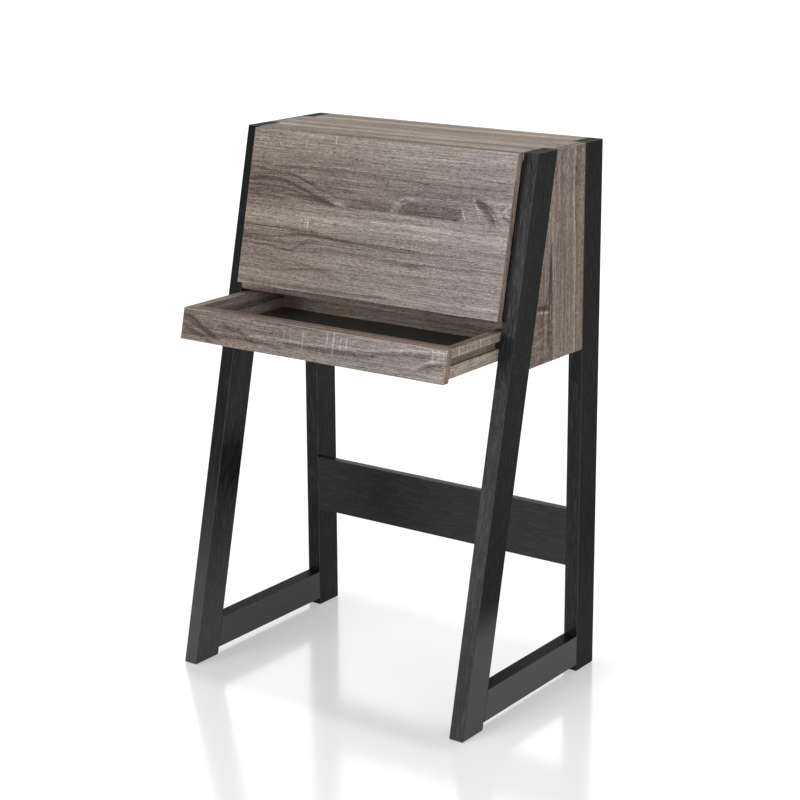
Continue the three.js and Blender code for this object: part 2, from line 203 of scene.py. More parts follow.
def carve(piece, cutter):
    """Takes the cutter's shape out of the piece, then throws the cutter away."""
    modify(piece, "BOOLEAN", operation="DIFFERENCE", solver="EXACT", object=cutter)
    bpy.data.objects.remove(cutter)


print("modelling helpers ready")

# %% [markdown]
# A piece is finished in the same few steps: its sharp edges are rounded, its faces get their finishes,
# and it is fixed to the body of the frame that carries it. Big flat faces would look swollen beside
# rounded edges, so the normals are weighted by area, which keeps the flats flat.

# %% Helpers for finishing a piece
SHARP_DEGREES = 30
SMOOTH_DEGREES = 35
ARRIS_SHARE = 0.985


def soften(piece, radius, segments=2):
    """Rounds every sharp edge, as a real board's sanded edge is, and keeps flat faces flat."""
    modify(piece, "BEVEL", width=radius, segments=segments, limit_method="ANGLE",
           angle_limit=math.radians(SHARP_DEGREES), use_clamp_overlap=True)
    bpy.ops.object.shade_smooth_by_angle(angle=math.radians(SMOOTH_DEGREES))
    modify(piece, "WEIGHTED_NORMAL", mode="FACE_AREA", weight=100, keep_sharp=True)


def facing(*directions, share=0.9):
    """A test for faces that look along one of these directions."""
    return lambda place, normal: any(normal.dot(wanted) > share for wanted in directions)


def on_arris(place, normal):
    """A test for the narrow faces of a rounded arris, which look along no board's flat face."""
    flats = (X, Y, Z, UP_BOARD, OUT_OF_BOARD)
    return max(abs(normal.dot(flat)) for flat in flats) < ARRIS_SHARE


def paint(piece, finish, *others):
    """Gives a piece its finish, then other finishes to the faces that pass a test: (test, finish) pairs."""
    piece.data.materials.clear()
    piece.data.materials.append(finish)
    for test, other in others:
        piece.data.materials.append(other)
        piece.active_material_index = len(piece.data.materials) - 1
        choose(piece, "FACE", test)
        bpy.ops.object.material_slot_assign()
        done()


def settle(piece, body, slot, *stood_for):
    """Fixes a finished piece to its CAD body and hides the CAD nodes it stands for."""
    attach(piece, body)
    if stood_for:
        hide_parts(*stood_for)
    bpy.ops.object.select_all(action="DESELECT")
    print(piece.name, "on", body, "with", len(piece.data.polygons), "faces")


def dress(piece, node, body, slot, radius, finish, *others):
    """Softens a board, gives it its finishes and lets it stand for its CAD node."""
    soften(piece, radius)
    paint(piece, finish, *others)
    settle(piece, body, slot, node)


print("finishing helpers ready")

# %% [markdown]
# Finishes are written as sums. This small class stands for one output of a material's nodes, so that
# adding or multiplying two of them adds the Math node, and any other node comes from one method.

# %% A class for shader sums
NODE_LISTS = {"stops", "points"}


def feed(socket, value):
    """Links a wire to a socket, or sets a plain value there."""
    if isinstance(value, Wire):
        value.tree.links.new(value.socket, socket)
    else:
        socket.default_value = value


class Wire:
    def __init__(self, tree, socket):
        self.tree = tree
        self.socket = socket

    def node(self, kind, settings, sockets, output=0):
        """Adds a node: settings first, then the value or the wire of each socket."""
        made = self.tree.nodes.new(kind)
        for name, value in settings.items():
            if name not in NODE_LISTS:
                setattr(made, name, value)
        if "stops" in settings:
            set_stops(made.color_ramp, settings["stops"])
        if "points" in settings:
            set_points(made.mapping, settings["points"])
        for name, value in sockets.items():
            feed(made.inputs[name], value)
        return Wire(self.tree, made.outputs[output])

    def math(self, operation, first, second=0.0):
        return self.node("ShaderNodeMath", {"operation": operation}, {0: first, 1: second})

    def __add__(self, other):
        return self.math("ADD", self, other)

    __radd__ = __add__

    def __sub__(self, other):
        return self.math("SUBTRACT", self, other)

    def __rsub__(self, other):
        return self.math("SUBTRACT", other, self)

    def __mul__(self, other):
        return self.math("MULTIPLY", self, other)

    __rmul__ = __mul__

    def __truediv__(self, other):
        return self.math("DIVIDE", self, other)

    def root(self):
        """The square root."""
        return self.math("SQRT", self)

    def size(self):
        """The number without its sign."""
        return self.math("ABSOLUTE", self)

    def clip(self):
        """The number held between 0 and 1."""
        return self.node("ShaderNodeClamp", {}, {0: self})

    def larger(self, other):
        return self.math("MAXIMUM", self, other)

    def step(self, low, high):
        """Rises smoothly from 0 at low to 1 at high, or falls where low is the larger one."""
        if low > high:
            return 1.0 - self.step(high, low)
        settings = {"interpolation_type": "SMOOTHSTEP"}
        return self.node("ShaderNodeMapRange", settings, {0: self, 1: low, 2: high, 3: 0.0, 4: 1.0})

    def near(self, centre, half):
        """1 at the centre, falling smoothly to 0 at half a width away."""
        return 1.0 - (self - centre).size().step(0.0, half)

    def within(self, low, high, soft):
        """1 between two places, with soft ends."""
        return self.step(low, low + soft) * (1.0 - self.step(high - soft, high))

    def along(self, direction):
        """How far a place lies along a direction."""
        sockets = {0: self, 1: Vector(direction)}
        return self.node("ShaderNodeVectorMath", {"operation": "DOT_PRODUCT"}, sockets, "Value")

    def curve(self, points, span, rise):
        """A smooth line through given points; span and rise are the largest values of both axes."""
        shares = [(x / span, y / rise) for x, y in points]
        made = self.node("ShaderNodeFloatCurve", {"points": shares}, {"Factor": 1.0, "Value": self / span})
        return made * rise

    def noise(self, x, y, z, detail=2.0, roughness=0.5):
        """A cloudy pattern from 0 to 1 over three measures."""
        place = self.node("ShaderNodeCombineXYZ", {}, {0: x, 1: y, 2: z})
        sockets = {"Vector": place, "Scale": 1.0, "Detail": detail, "Roughness": roughness}
        return self.node("ShaderNodeTexNoise", {"noise_dimensions": "3D"}, sockets, "Fac")

    def ramp(self, stops):
        """Colours by the number, from given stops."""
        return self.node("ShaderNodeValToRGB", {"stops": stops}, {0: self})

    def mix(self, first, second, share, blend="MIX"):
        """Mixes two colours by a share."""
        settings = {"data_type": "RGBA", "blend_type": blend, "clamp_factor": True}
        return self.node("ShaderNodeMix", settings, {0: share, 6: first, 7: second}, 2)

    def relief(self, depth, strength=1.0):
        """A bumped surface normal from a height in metres."""
        return self.node("ShaderNodeBump", {}, {"Strength": strength, "Distance": depth, "Height": self})


print("class for sums ready")

# %% [markdown]
# A ramp's colours and a curve's points are filled in by two small functions, and colours are written as
# painters write them. Every finish starts from the place on the desk, counted in millimetres, so the
# numbers that divide a place in the recipes below are lengths in millimetres, and the factors after a
# pattern are its strength.

# %% Helpers for finishes
def set_stops(ramp, stops):
    """Sets a ramp's colours by place."""
    while len(ramp.elements) < len(stops):
        ramp.elements.new(1.0)
    for element, (place, colour) in zip(ramp.elements, stops):
        element.position = place
        element.color = colour


def set_points(mapping, points):
    """Sets a curve's points, with straight level ends."""
    line = mapping.curves[0]
    while len(line.points) < len(points):
        line.points.new(0.5, 0.5)
    for point, (x, y) in zip(line.points, points):
        point.location = (x, y)
    mapping.extend = "HORIZONTAL"
    mapping.update()


def colour(code):
    """A colour as painters write it, such as 958A80, made plain light values for the shader."""
    shares = [int(code[i:i + 2], 16) / 255 for i in (0, 2, 4)]
    return (*[s / 12.92 if s <= 0.04045 else ((s + 0.055) / 1.055) ** 2.4 for s in shares], 1.0)


def new_finish(name):
    """An empty finish: the material, its surface node and the place on the desk in millimetres."""
    material = bpy.data.materials.new(name)
    material.use_nodes = True
    tree = material.node_tree
    surface = tree.nodes["Principled BSDF"]
    start = Wire(tree, None)
    place = start.node("ShaderNodeTexCoord", {}, {}, "Object")
    place = start.node("ShaderNodeVectorMath", {"operation": "SCALE"}, {0: place, "Scale": 1.0 / MM})
    return material, surface, place


def connect(surface, **values):
    """Feeds the surface node: wires for what changes over the surface, and plain values."""
    for name, value in values.items():
        feed(surface.inputs[name.replace("_", " ")], value)


print("shader helpers ready")

# %% [markdown]
# The oak is a printed paper over board: a grey-brown weathered oak with long dark streaks, short dark
# pores and faint marks of a saw across the grain. One recipe makes it for every board. It takes the
# direction of the grain and the direction across it, so that the print runs the way the real sheet was
# cut for that board.

# %% The oak recipe
OAK_STOPS = [
    (0.0, colour("433734")),
    (0.22, colour("685B56")),
    (0.42, colour("80746E")),
    (0.6, colour("978C85")),
    (0.8, colour("B2A9A1")),
    (1.0, colour("D2CBC2")),
]


def grain_places(place, grain, across, layer):
    """How far a place lies along the grain, across it and into the board, which starts at a layer."""
    grain = Vector(grain).normalized()
    across = Vector(across).normalized()
    return place.along(grain), place.along(across), place.along(grain.cross(across)) + layer


def oak_print(place, grain, across, seed, waves=9.0, spread=1.0, curl=1.2):
    """The plain print. Returns distance along the grain, distance across it, a tone and a fine relief."""
    run, side, depth = grain_places(place, grain, across, seed * 37.0)
    bend = place.noise(run / 220.0, side / 50.0, depth / 60.0, 2.0) - 0.5
    curls = place.noise(run / 50.0, side / 12.0, depth / 30.0, 1.0) - 0.5
    wavy = side + bend * waves + curls * curl
    broad = place.noise(run / 900.0, wavy / 30.0, depth / 90.0, 2.0, 0.6) - 0.5
    bands = place.noise(run / 300.0, wavy / 8.0, depth / 40.0, 3.0, 0.6) - 0.5
    streaks = place.noise(run / 200.0, wavy / 2.2, depth / 20.0, 2.0, 0.6) - 0.5
    dashes = place.noise(run / 45.0, wavy / 1.6, depth / 12.0, 2.0, 0.6).step(0.34, 0.66) - 0.5
    fibres = place.noise(run / 6.5, wavy / 0.8, depth / 9.0, 2.0, 0.7) - 0.5
    tone = 0.56 + (broad * 0.8 + bands * 0.5) * spread + streaks * 0.7 + dashes * 0.18 + fibres * 0.7
    pores = place.noise(run / 7.0, wavy / 1.2, depth / 5.0, 1.0).step(0.56, 0.68)
    open_pores = place.noise(run / 12.0, wavy / 0.6, depth / 4.0 + 5.0, 1.0).step(0.6, 0.66)
    flecks = place.noise(run / 6.0, wavy / 1.4, depth / 7.0 + 11.0, 1.0).step(0.58, 0.74)
    tone = tone - pores * 0.3 - open_pores * 0.2 + flecks * 0.24
    return run, side, tone, fibres + dashes * 0.7 - pores * 0.6


def saw_lines(place, run, side, seed):
    """Thin pale lines across the grain, as a coarse saw leaves them."""
    return place.noise(run / 3.4, side / 45.0, seed * 3.1, 1.0).step(0.54, 0.68)


def add_streaks(tone, side, run, rough, lines, span, rise, fade=28.0):
    """Adds dark streaks along given lines, or pale ones where the strength is below 0."""
    for points, half, strength in lines:
        centre = run.curve(points, span, rise)
        ends = run.within(points[0][0] - fade / 2, points[-1][0] + fade / 2, fade)
        tone = tone - side.near(centre, half) * ends * strength * rough
    return tone


def wander(place, run, side, layer, length=24.0):
    """A small drift for drawn lines, so that none is quite smooth."""
    return place.noise(run / length, side / 9.0, layer, 2.0) - 0.5


def breaks(place, run, side, layer):
    """A strength that comes and goes, to break drawn lines up."""
    return place.noise(run / 20.0, side / 2.6, layer, 2.0) * 1.1 + 0.5


def cloudy(place, length):
    """A cloudy pattern with cells of one length in every direction."""
    x, y, z = (place.along(axis) / length for axis in (X, Y, Z))
    return place.noise(x, y, z)


def oak_surface(material, surface, place, tone, height, tint="FFFFFF", cool=None):
    """Turns a tone into the finished oak surface. A warm or cool cast drifts over the sheet."""
    patchy = cloudy(place, 120.0)
    shade = tone.clip().ramp(OAK_STOPS)
    shade = tone.mix(shade, colour(tint), 1.0, "MULTIPLY")
    cool = patchy.step(0.3, 0.7) if cool is None else cool
    cast = tone.mix(colour("FFFCF3"), colour("F8FBFF"), cool)
    shade = tone.mix(shade, cast, 1.0, "MULTIPLY")
    rough = 0.58 + (0.5 - tone) * 0.14 + (patchy - 0.5) * 0.08
    connect(surface, Base_Color=shade, Roughness=rough, Normal=height.relief(0.00012, 0.5),
            Specular_IOR_Level=0.2)
    return material


def plain_oak(name, grain, across, seed, tint="FFFFFF", lift=0.0, waves=9.0, spread=1.0):
    """The oak of the boards that show no special mark."""
    material, surface, place = new_finish(name)
    run, side, tone, fine = oak_print(place, grain, across, seed, waves, spread)
    gate = place.noise(run / 70.0, side / 55.0, seed * 1.7, 1.0).step(0.62, 0.72)
    tone = tone + saw_lines(place, run, side, seed) * gate * 0.14 + lift
    return oak_surface(material, surface, place, tone, fine, tint)


oak_top = plain_oak("oak_top", X, Y, 1, tint="FBF3E9", lift=0.01, spread=1.5)
oak_worktop = plain_oak("oak_worktop", X, Y, 2)
oak_shelf = plain_oak("oak_shelf", X, Y, 3)
oak_back = plain_oak("oak_back", X, Z, 4)
# The inner faces are lifted lighter: painted light in the shaded inside of the drawer.
oak_inner_painted_light = plain_oak("oak_inner_painted_light", X, Z, 7, tint="FFF4EF", lift=0.1)
oak_divider = plain_oak("oak_divider", Z, Y, 9)
print("plain oak finishes ready")

# %% [markdown]
# The drawer's sides show saw marks on the strip above their groove, and the groove is darkened with
# painted shade. Both follow the groove's height and the side's outer face, so they are tied to the place
# and not painted by hand.

# %% The oak of the drawer's sides
GROOVE_FOOT = 702.0
GROOVE_HEAD = 715.5
DRAWER_SIDE_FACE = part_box("drawer_side_right")[1].x / MM


def drawer_side_oak():
    material, surface, place = new_finish("oak_drawer_side")
    run, side, tone, fine = oak_print(place, Y, Z, 17)
    out = place.along(X).size()
    outer = out.step(DRAWER_SIDE_FACE - 0.9, DRAWER_SIDE_FACE - 0.3)
    # Painted shade: the groove's inside is darkened.
    groove_shade = side.within(GROOVE_FOOT - 0.4, GROOVE_HEAD + 0.5, 0.8)
    groove_shade = groove_shade * out.step(DRAWER_SIDE_FACE - 6.5, DRAWER_SIDE_FACE - 13.5)
    above = side.step(GROOVE_HEAD, GROOVE_HEAD + 1.0)
    tone = tone + saw_lines(place, run, side, 17) * above * outer * 0.3 - groove_shade * 0.22
    return oak_surface(material, surface, place, tone, fine)


oak_drawer_side = drawer_side_oak()
print("oak of the drawer's sides ready")

# %% [markdown]
# Every edge of a board is covered by a narrow strip of the same print, a shade browner, whose grain runs
# along the edge. The rounded arris between a face and its edge is painted paler, a painted highlight.

# %% Edge strips and painted arris highlights
STRIP_TINT = "E4D8D1"
ARRIS_HIGHLIGHT_TINT = "FFF4E8"
strip_x = plain_oak("strip_x", X, Y + Z, 10, tint=STRIP_TINT, lift=-0.06, waves=2.0)
strip_y = plain_oak("strip_y", Y, X + Z, 11, tint=STRIP_TINT, lift=-0.06, waves=2.0)
strip_z = plain_oak("strip_z", Z, X + Y, 5, tint=STRIP_TINT, lift=0.08, waves=2.0)
# The worktop's front edge strip is darker: painted shade under the flap.
strip_worktop_painted_shade = plain_oak("strip_worktop_painted_shade", X, Y + Z, 19, tint="E2D6D4", lift=-0.14, waves=3.0, spread=1.4)
# Paler arrises: a painted highlight along each rounded edge.
arris_highlight_x = plain_oak("arris_highlight_x", X, Y + Z, 13, tint=ARRIS_HIGHLIGHT_TINT, lift=0.12, waves=2.0)
arris_highlight_y = plain_oak("arris_highlight_y", Y, X + Z, 14, tint=ARRIS_HIGHLIGHT_TINT, lift=0.12, waves=2.0)
arris_highlight_z = plain_oak("arris_highlight_z", Z, X + Y, 16, tint=ARRIS_HIGHLIGHT_TINT, lift=0.12, waves=2.0)
print("edge strips ready")

# %% [markdown]
# The flap shows the sheet's special places: wavy dark lines at the left, a darker plank with torn ends
# across the middle, a knot at the right and pale saw marks. Each is a line through a few given points, in
# millimetres from the flap's upper left corner.

# %% The oak of the flap
FLAP_WIDE = 607.0
FLAP_TALL = 306.0
FLAP_REACH = 306.5
FLAP_CORNER = HINGE_LINE / MM - X * FLAP_WIDE / 2 + UP_BOARD * FLAP_REACH
FLAP_LEVELS = [
    (0, 0.59), (14, 0.50), (36, 0.44), (58, 0.38), (70, 0.35), (84, 0.30), (104, 0.33), (130, 0.36),
    (137, 0.37), (150, 0.41), (164, 0.57), (178, 0.51), (190, 0.39), (206, 0.42), (226, 0.46), (240, 0.48),
    (262, 0.46), (288, 0.51), (306, 0.55),
]
FLAP_LINES = [
    ([(0, 68), (90, 72), (150, 70), (330, 73), (600, 74)], 5.5, 0.15),
    ([(0, 77), (60, 84), (110, 87), (145, 98), (200, 103), (260, 108)], 4.4, 0.20),
    ([(0, 103), (40, 98), (80, 98), (120, 107), (160, 120), (208, 133)], 6.5, 0.34),
    ([(0, 113), (60, 110), (112, 116), (160, 126), (214, 136)], 5.0, 0.24),
    ([(0, 124), (60, 119), (120, 126), (200, 134)], 8.0, 0.17),
    ([(0, 132), (40, 131), (96, 134)], 4.4, 0.17),
    ([(120, 86), (260, 85), (400, 86)], 2.8, -0.12),
    ([(130, 93), (175, 108), (230, 124)], 3.4, 0.17),
    ([(0, 191), (90, 191), (180, 192)], 3.4, 0.30),
    ([(120, 196), (200, 200), (400, 206), (520, 198)], 5.0, 0.15),
    ([(0, 210), (80, 207), (140, 199), (172, 197), (240, 200), (420, 202)], 4.6, 0.24),
    ([(0, 225), (60, 226), (120, 229), (152, 215), (182, 209)], 5.0, 0.22),
    ([(0, 216), (60, 217), (130, 216), (165, 205)], 4.6, 0.16),
    ([(0, 238), (100, 234), (160, 226), (280, 222), (420, 232)], 8.0, 0.11),
    ([(0, 252), (90, 250), (180, 258), (230, 268), (250, 284)], 4.4, 0.12),
    ([(0, 270), (90, 272), (190, 262), (230, 274)], 4.4, 0.12),
    ([(0, 299), (160, 299), (350, 297)], 6.0, 0.22),
    ([(380, 232), (450, 226), (600, 221)], 4.4, 0.13),
    ([(340, 250), (430, 247), (600, 244)], 4.4, 0.10),
    ([(420, 38), (520, 40), (607, 34)], 3.0, 0.08),
    ([(300, 158), (420, 156), (600, 160)], 3.4, -0.10),
]
FLAP_KNOT = [
    ([(530, 96), (544, 104), (557, 112), (567, 122), (577, 136)], 11.0, 0.34),
    ([(550, 116), (561, 126), (571, 136)], 10.0, 0.20),
    ([(540, 97), (556, 103), (568, 111), (577, 122), (585, 137)], 3.6, 0.28),
    ([(524, 92), (530, 103), (537, 115), (545, 136)], 4.0, -0.26),
    ([(532, 104), (540, 113), (550, 128)], 4.4, -0.16),
    ([(552, 92), (580, 97), (607, 94)], 11.0, -0.17),
    ([(572, 106), (584, 116), (594, 132)], 7.0, -0.12),
    ([(590, 112), (597, 105), (607, 99)], 4.4, -0.30),
    ([(592, 110), (600, 116), (607, 119)], 3.4, -0.22),
    ([(590, 120), (598, 122), (607, 126)], 6.0, 0.24),
    ([(500, 113), (505, 119), (508, 127), (514, 136)], 3.6, -0.34),
    ([(344, 136), (352, 126), (360, 114), (372, 107), (396, 106)], 4.4, -0.20),
    ([(350, 112), (362, 120), (372, 130), (380, 137)], 3.6, -0.12),
    ([(206, 130), (222, 133), (240, 134)], 4.0, -0.24),
]
FLAP_TICKS = [
    (140, -12, 14, 0.12), (155, -12, 13, 0.16), (176, 8, 26, 0.10), (200, -10, 24, 0.32), (130, 12, 30, 0.08),
    (82, 160, 190, 0.16), (138, 162, 190, 0.16), (148, 160, 188, 0.22), (155, 160, 190, 0.32),
    (372, 184, 200, 0.08), (382, 182, 202, 0.12), (392, 184, 203, 0.10), (402, 182, 202, 0.12),
    (412, 184, 200, 0.08), (88, 288, 306, 0.10), (97, 284, 306, 0.14), (106, 288, 306, 0.12),
]
PLANK_FOOT = 136.5
FIRST_TEAR = [(0, 136), (224, 136), (244, 122), (270, 117), (344, 120), (352, 136), (607, 136)]
SECOND_TEAR = [(0, 136), (358, 136), (364, 124), (382, 114), (430, 113), (500, 114), (607, 116)]


def add_ticks(tone, down, over, rough, ticks):
    """Adds pale saw marks across the grain: place along it, top, bottom and strength."""
    for where, top, bottom, strength in ticks:
        tone = tone + over.near(where, 2.6) * down.within(top, bottom, 9.0) * rough * strength
    return tone


def flap_oak():
    material, surface, place = new_finish("oak_flap")
    run, side, tone, fine = oak_print(place, X, UP_BOARD, 12, 6.0, 0.34)
    over = run - FLAP_CORNER.dot(X)
    straight_down = FLAP_CORNER.dot(UP_BOARD) - side
    shake = wander(place, run, side, 4.0)
    sway = place.noise(run / 90.0, side / 30.0, 9.0, 1.0) - 0.5
    down = straight_down + shake * 4.5 + sway * 5.0
    rough = breaks(place, run, side, 6.0)
    level = down.curve(FLAP_LEVELS, FLAP_TALL, 1.0)
    # Lighter towards the right: partly the print, partly painted light that falls off to the left.
    tone = tone + (level - 0.5) * 0.95 + (over / FLAP_WIDE - 0.5) * 0.18
    curly = place.noise(run / 9.0 + sway * 4.0, side / 4.2 + shake * 2.0, 21.0, 2.0) - 0.5
    curly_left = over.step(240.0, 60.0) * down.step(84.0, 30.0)
    curly_low = over.within(190.0, 320.0, 40.0) * down.within(236.0, 296.0, 18.0)
    tone = tone + curly * (curly_left * 0.5 + curly_low * 0.6)
    tone = add_streaks(tone, down, over, rough, FLAP_LINES, FLAP_WIDE, FLAP_TALL)
    tone = add_streaks(tone, down, over, 0.6 + rough * 0.4, FLAP_KNOT, FLAP_WIDE, FLAP_TALL, 10.0)
    torn = place.noise(run / 10.0, side / 5.0, 8.0, 2.0) - 0.5
    ragged = over + torn * 12.0
    above = straight_down.step(PLANK_FOOT + 0.6, PLANK_FOOT - 0.6)
    first_depth = down - over.curve(FIRST_TEAR, FLAP_WIDE, FLAP_TALL)
    second_depth = down - over.curve(SECOND_TEAR, FLAP_WIDE, FLAP_TALL)
    first = first_depth.step(-1.0, 4.0) * ragged.within(222.0, 350.0, 16.0)
    second = second_depth.step(-1.0, 3.0) * ragged.within(352.0, 504.0, 5.0)
    tone = tone - (first * 0.12 + second * 0.21) * above * rough
    tone = tone + (1.0 - above) * down.near(140.0, 9.0) * over.step(180.0, 260.0) * 0.05
    tone = add_ticks(tone, down, over, rough, FLAP_TICKS)
    return oak_surface(material, surface, place, tone, fine, cool=over.step(-60.0, 660.0))


oak_flap = flap_oak()
print("oak of the flap ready")

# %% [markdown]
# The drawer front has its own piece of the sheet: a dark curl at the left end, a pale seam that climbs to
# the right over a darker band, and groups of saw marks in the middle.

# %% The oak of the drawer front
DRAWER_TALL = 60.0
DRAWER_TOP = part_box("drawer_front")[1].z / MM
DRAWER_LINES = [
    ([(0, 10), (24, 17), (52, 31), (78, 41)], 6.0, 0.34),
    ([(0, 16), (30, 27), (64, 40), (96, 50)], 4.6, 0.24),
    ([(0, 30), (40, 44), (80, 56)], 7.0, 0.20),
    ([(0, 46), (60, 44), (160, 40), (240, 44)], 9.0, 0.15),
    ([(96, 24), (148, 30), (162, 40), (182, 45)], 6.4, 0.19),
    ([(160, 33), (200, 29), (320, 29), (360, 25), (450, 21), (520, 11), (607, 3)], 3.6, -0.2),
    ([(250, 38), (340, 35), (430, 31), (480, 23), (570, 17)], 8.5, 0.22),
    ([(170, 3), (240, 4), (330, 3)], 3.4, 0.26),
    ([(548, 42), (566, 34), (590, 27), (607, 24)], 4.6, 0.26),
    ([(545, 36), (566, 27), (588, 20)], 3.6, -0.18),
    ([(556, 41), (574, 38), (600, 36)], 6.0, 0.18),
    ([(400, 56), (440, 50), (470, 44)], 3.4, 0.12),
    ([(30, 60), (60, 52), (90, 54)], 3.4, 0.12),
]
DRAWER_TICKS = [
    (246, 6, 32, 0.16), (262, 8, 34, 0.22), (290, 2, 46, 0.24), (304, 30, 46, 0.10), (318, 28, 46, 0.12),
    (330, 26, 46, 0.14), (345, 0, 30, 0.28), (360, -6, 46, 0.34), (376, 2, 38, 0.18), (389, 0, 32, 0.28),
    (577, -6, 26, 0.26), (590, -6, 24, 0.18), (600, -6, 24, 0.16),
]


def drawer_oak():
    material, surface, place = new_finish("oak_drawer_front")
    run, side, tone, fine = oak_print(place, X, UP_BOARD, 15, 6.0, 0.4, 2.0)
    over = run + FLAP_WIDE / 2
    down = DRAWER_TOP - place.along(Z) + wander(place, run, side, 14.0) * 4.0
    rough = breaks(place, run, side, 16.0)
    # Lighter towards the right: partly the print, partly painted light that falls off to the left, as on the
    # flap.
    tone = tone + (over / FLAP_WIDE - 0.5) * 0.24 + down.step(22.0, 2.0) * 0.07 - 0.12
    tone = add_streaks(tone, down, over, rough, DRAWER_LINES, FLAP_WIDE, DRAWER_TALL)
    tone = add_ticks(tone, down, over, rough, DRAWER_TICKS)
    return oak_surface(material, surface, place, tone, fine, cool=over.step(-100.0, 500.0))


oak_drawer_front = drawer_oak()
print("oak of the drawer front ready")

# %% [markdown]
# On the side panels the grain stands upright. The sheet there shows a joint between two planks, browner
# and knottier wood in front of it, and a thin seam near the back leg.

# %% The oak of the side panels
SIDE_TALL = 1050.0
SIDE_DEEP = 200.0
SIDE_JOINT = [(657, 70), (760, 67), (852, 64), (930, 55), (1050, 40)]
SIDE_SEAM = [(657, 147), (760, 145), (880, 144), (950, 138), (1050, 142)]
SIDE_LINES = [
    ([(690, 56), (740, 54), (780, 58), (850, 60)], 7.0, 0.30),
    ([(740, 30), (770, 44), (800, 56), (850, 60)], 6.0, 0.28),
    ([(668, 30), (720, 34), (752, 28)], 5.0, 0.14),
    ([(657, 62), (700, 60), (745, 58)], 6.0, 0.20),
    ([(800, 104), (860, 106), (930, 100)], 7.0, 0.09),
    ([(940, 84), (985, 88)], 4.0, -0.16),
    ([(657, 122), (730, 124), (800, 118)], 5.0, 0.08),
]


def side_oak(name, seed):
    material, surface, place = new_finish(name)
    run, side, tone, fine = oak_print(place, Z, Y, seed, 6.0, 0.7, 3.0)
    back = side + wander(place, run, side, seed + 2.0, 26.0) * 3.0
    rough = breaks(place, run, side, seed + 6.0)
    joint = back - run.curve(SIDE_JOINT, SIDE_TALL, SIDE_DEEP)
    seam = back - run.curve(SIDE_SEAM, SIDE_TALL, SIDE_DEEP)
    low = run.step(940.0, 840.0)
    front_plank = joint.step(1.0, -1.0) * low
    tone = tone - front_plank * 0.12 + joint.near(5.0, 5.0) * low * 0.08
    tone = tone - joint.near(-2.0, 3.6) * (0.05 + low * 0.24) * rough
    tone = tone + seam.near(0.0, 5.0) * 0.2 * rough - seam.near(6.0, 4.4) * 0.22 * rough
    tone = tone - seam.within(5.0, 26.0, 5.0) * (0.04 + run.step(920.0, 980.0) * 0.07)
    tone = add_streaks(tone, back, run, rough, SIDE_LINES, SIDE_TALL, SIDE_DEEP)
    crack = run + (back - 20.0) * 0.13
    tone = tone + crack.near(756.0, 3.6) * back.within(-12.0, 64.0, 12.0) * 0.42
    tone = tone - crack.near(765.0, 8.0) * back.within(4.0, 62.0, 14.0) * 0.36 * rough
    cross = place.noise(run / 2.4, side / 26.0, seed * 2.3, 1.0) - 0.5
    patch = place.noise(run / 60.0, side / 22.0, seed * 4.1, 1.0).step(0.4, 0.6)
    tone = tone + cross * (front_plank * run.step(756.0, 740.0) * 0.7 + patch * 0.4)
    blots = place.noise(run / 11.0, side / 6.0, seed * 5.3, 2.0) - 0.5
    tone = tone + blots * (0.35 + run.step(860.0, 990.0) * 0.35)
    return oak_surface(material, surface, place, tone - 0.03, fine, "F6EDE6")


oak_side_right = side_oak("oak_side_right", 18)
oak_side_left = side_oak("oak_side_left", 24)
print("oak of the side panels ready")

# %% [markdown]
# Black shows its form by reflections, so the gloss matters more than the colour, and the grain is a mix
# of faint wisps and shallow relief, deepest near the top. The black is painted lighter or darker for how
# the light falls on each place: the right front leg, the inner faces and the stretcher are painted lighter,
# painted light, and the left front leg darker, painted shade. The outer faces are the darkest, the arrises
# are a lighter grey, a painted highlight, and a lighter grey towards the feet and the low rails is painted
# sheen that stands in for the floor's reflection, so each of these places has a finish of its own.

# %% The black finish of the frames
def black_grain(name, grain, across, seed, base="0F0F10", groove="060607", light="2C2E32", painted_sheen=0.0,
                painted_sheen_top=330.0, painted_sheen_end=50.0, gloss=0.2, mirror=1.17):
    """Painted sheen of the floor's reflection thickens from its top down to its end. The mirror is the index
    of refraction.
    """
    material, surface, place = new_finish(name)
    run, side, depth = grain_places(place, grain, across, seed * 23.0)
    height = place.along(Z)
    wavy = side + (place.noise(run / 130.0, side / 30.0, depth / 30.0, 1.0) - 0.5) * 5.0
    fine = place.noise(run / 36.0, wavy / 1.3, depth / 1.3, 2.0, 0.6)
    coarse = place.noise(run / 90.0, wavy / 2.6, depth / 2.6, 2.0, 0.6)
    pits = place.noise(run / 7.0, wavy / 1.6, depth / 1.6, 2.0, 0.6)
    grooves = fine.step(0.46, 0.66) * 0.35 + coarse.step(0.48, 0.66) * 0.25 + pits.step(0.48, 0.62) * 0.4
    cloud = place.noise(run / 200.0, side / 60.0, depth / 60.0, 2.0)
    wisps = place.noise(run / 34.0, wavy / 3.2, depth / 3.2, 2.0, 0.6).step(0.5, 0.66)
    shade = grooves.mix(colour(base), colour(groove), grooves * 0.9)
    shade = grooves.mix(shade, colour(light), wisps * 0.6 + cloud.step(0.45, 0.8) * 0.3)
    # Painted sheen: a lighter grey towards the foot that stands in for the floor's reflection.
    low = height.step(painted_sheen_top, painted_sheen_end) * (0.92 + wisps * 0.08)
    shade = grooves.mix(shade, colour("535354"), low * painted_sheen)
    rough = gloss + grooves * 0.14 + (cloud - 0.5) * 0.08
    emboss = (1.0 - grooves) * (0.15 + height.step(150.0, 800.0) * 0.85)
    connect(surface, Base_Color=shade, Roughness=rough, Normal=emboss.relief(0.0004, 0.9), IOR=mirror)
    return material


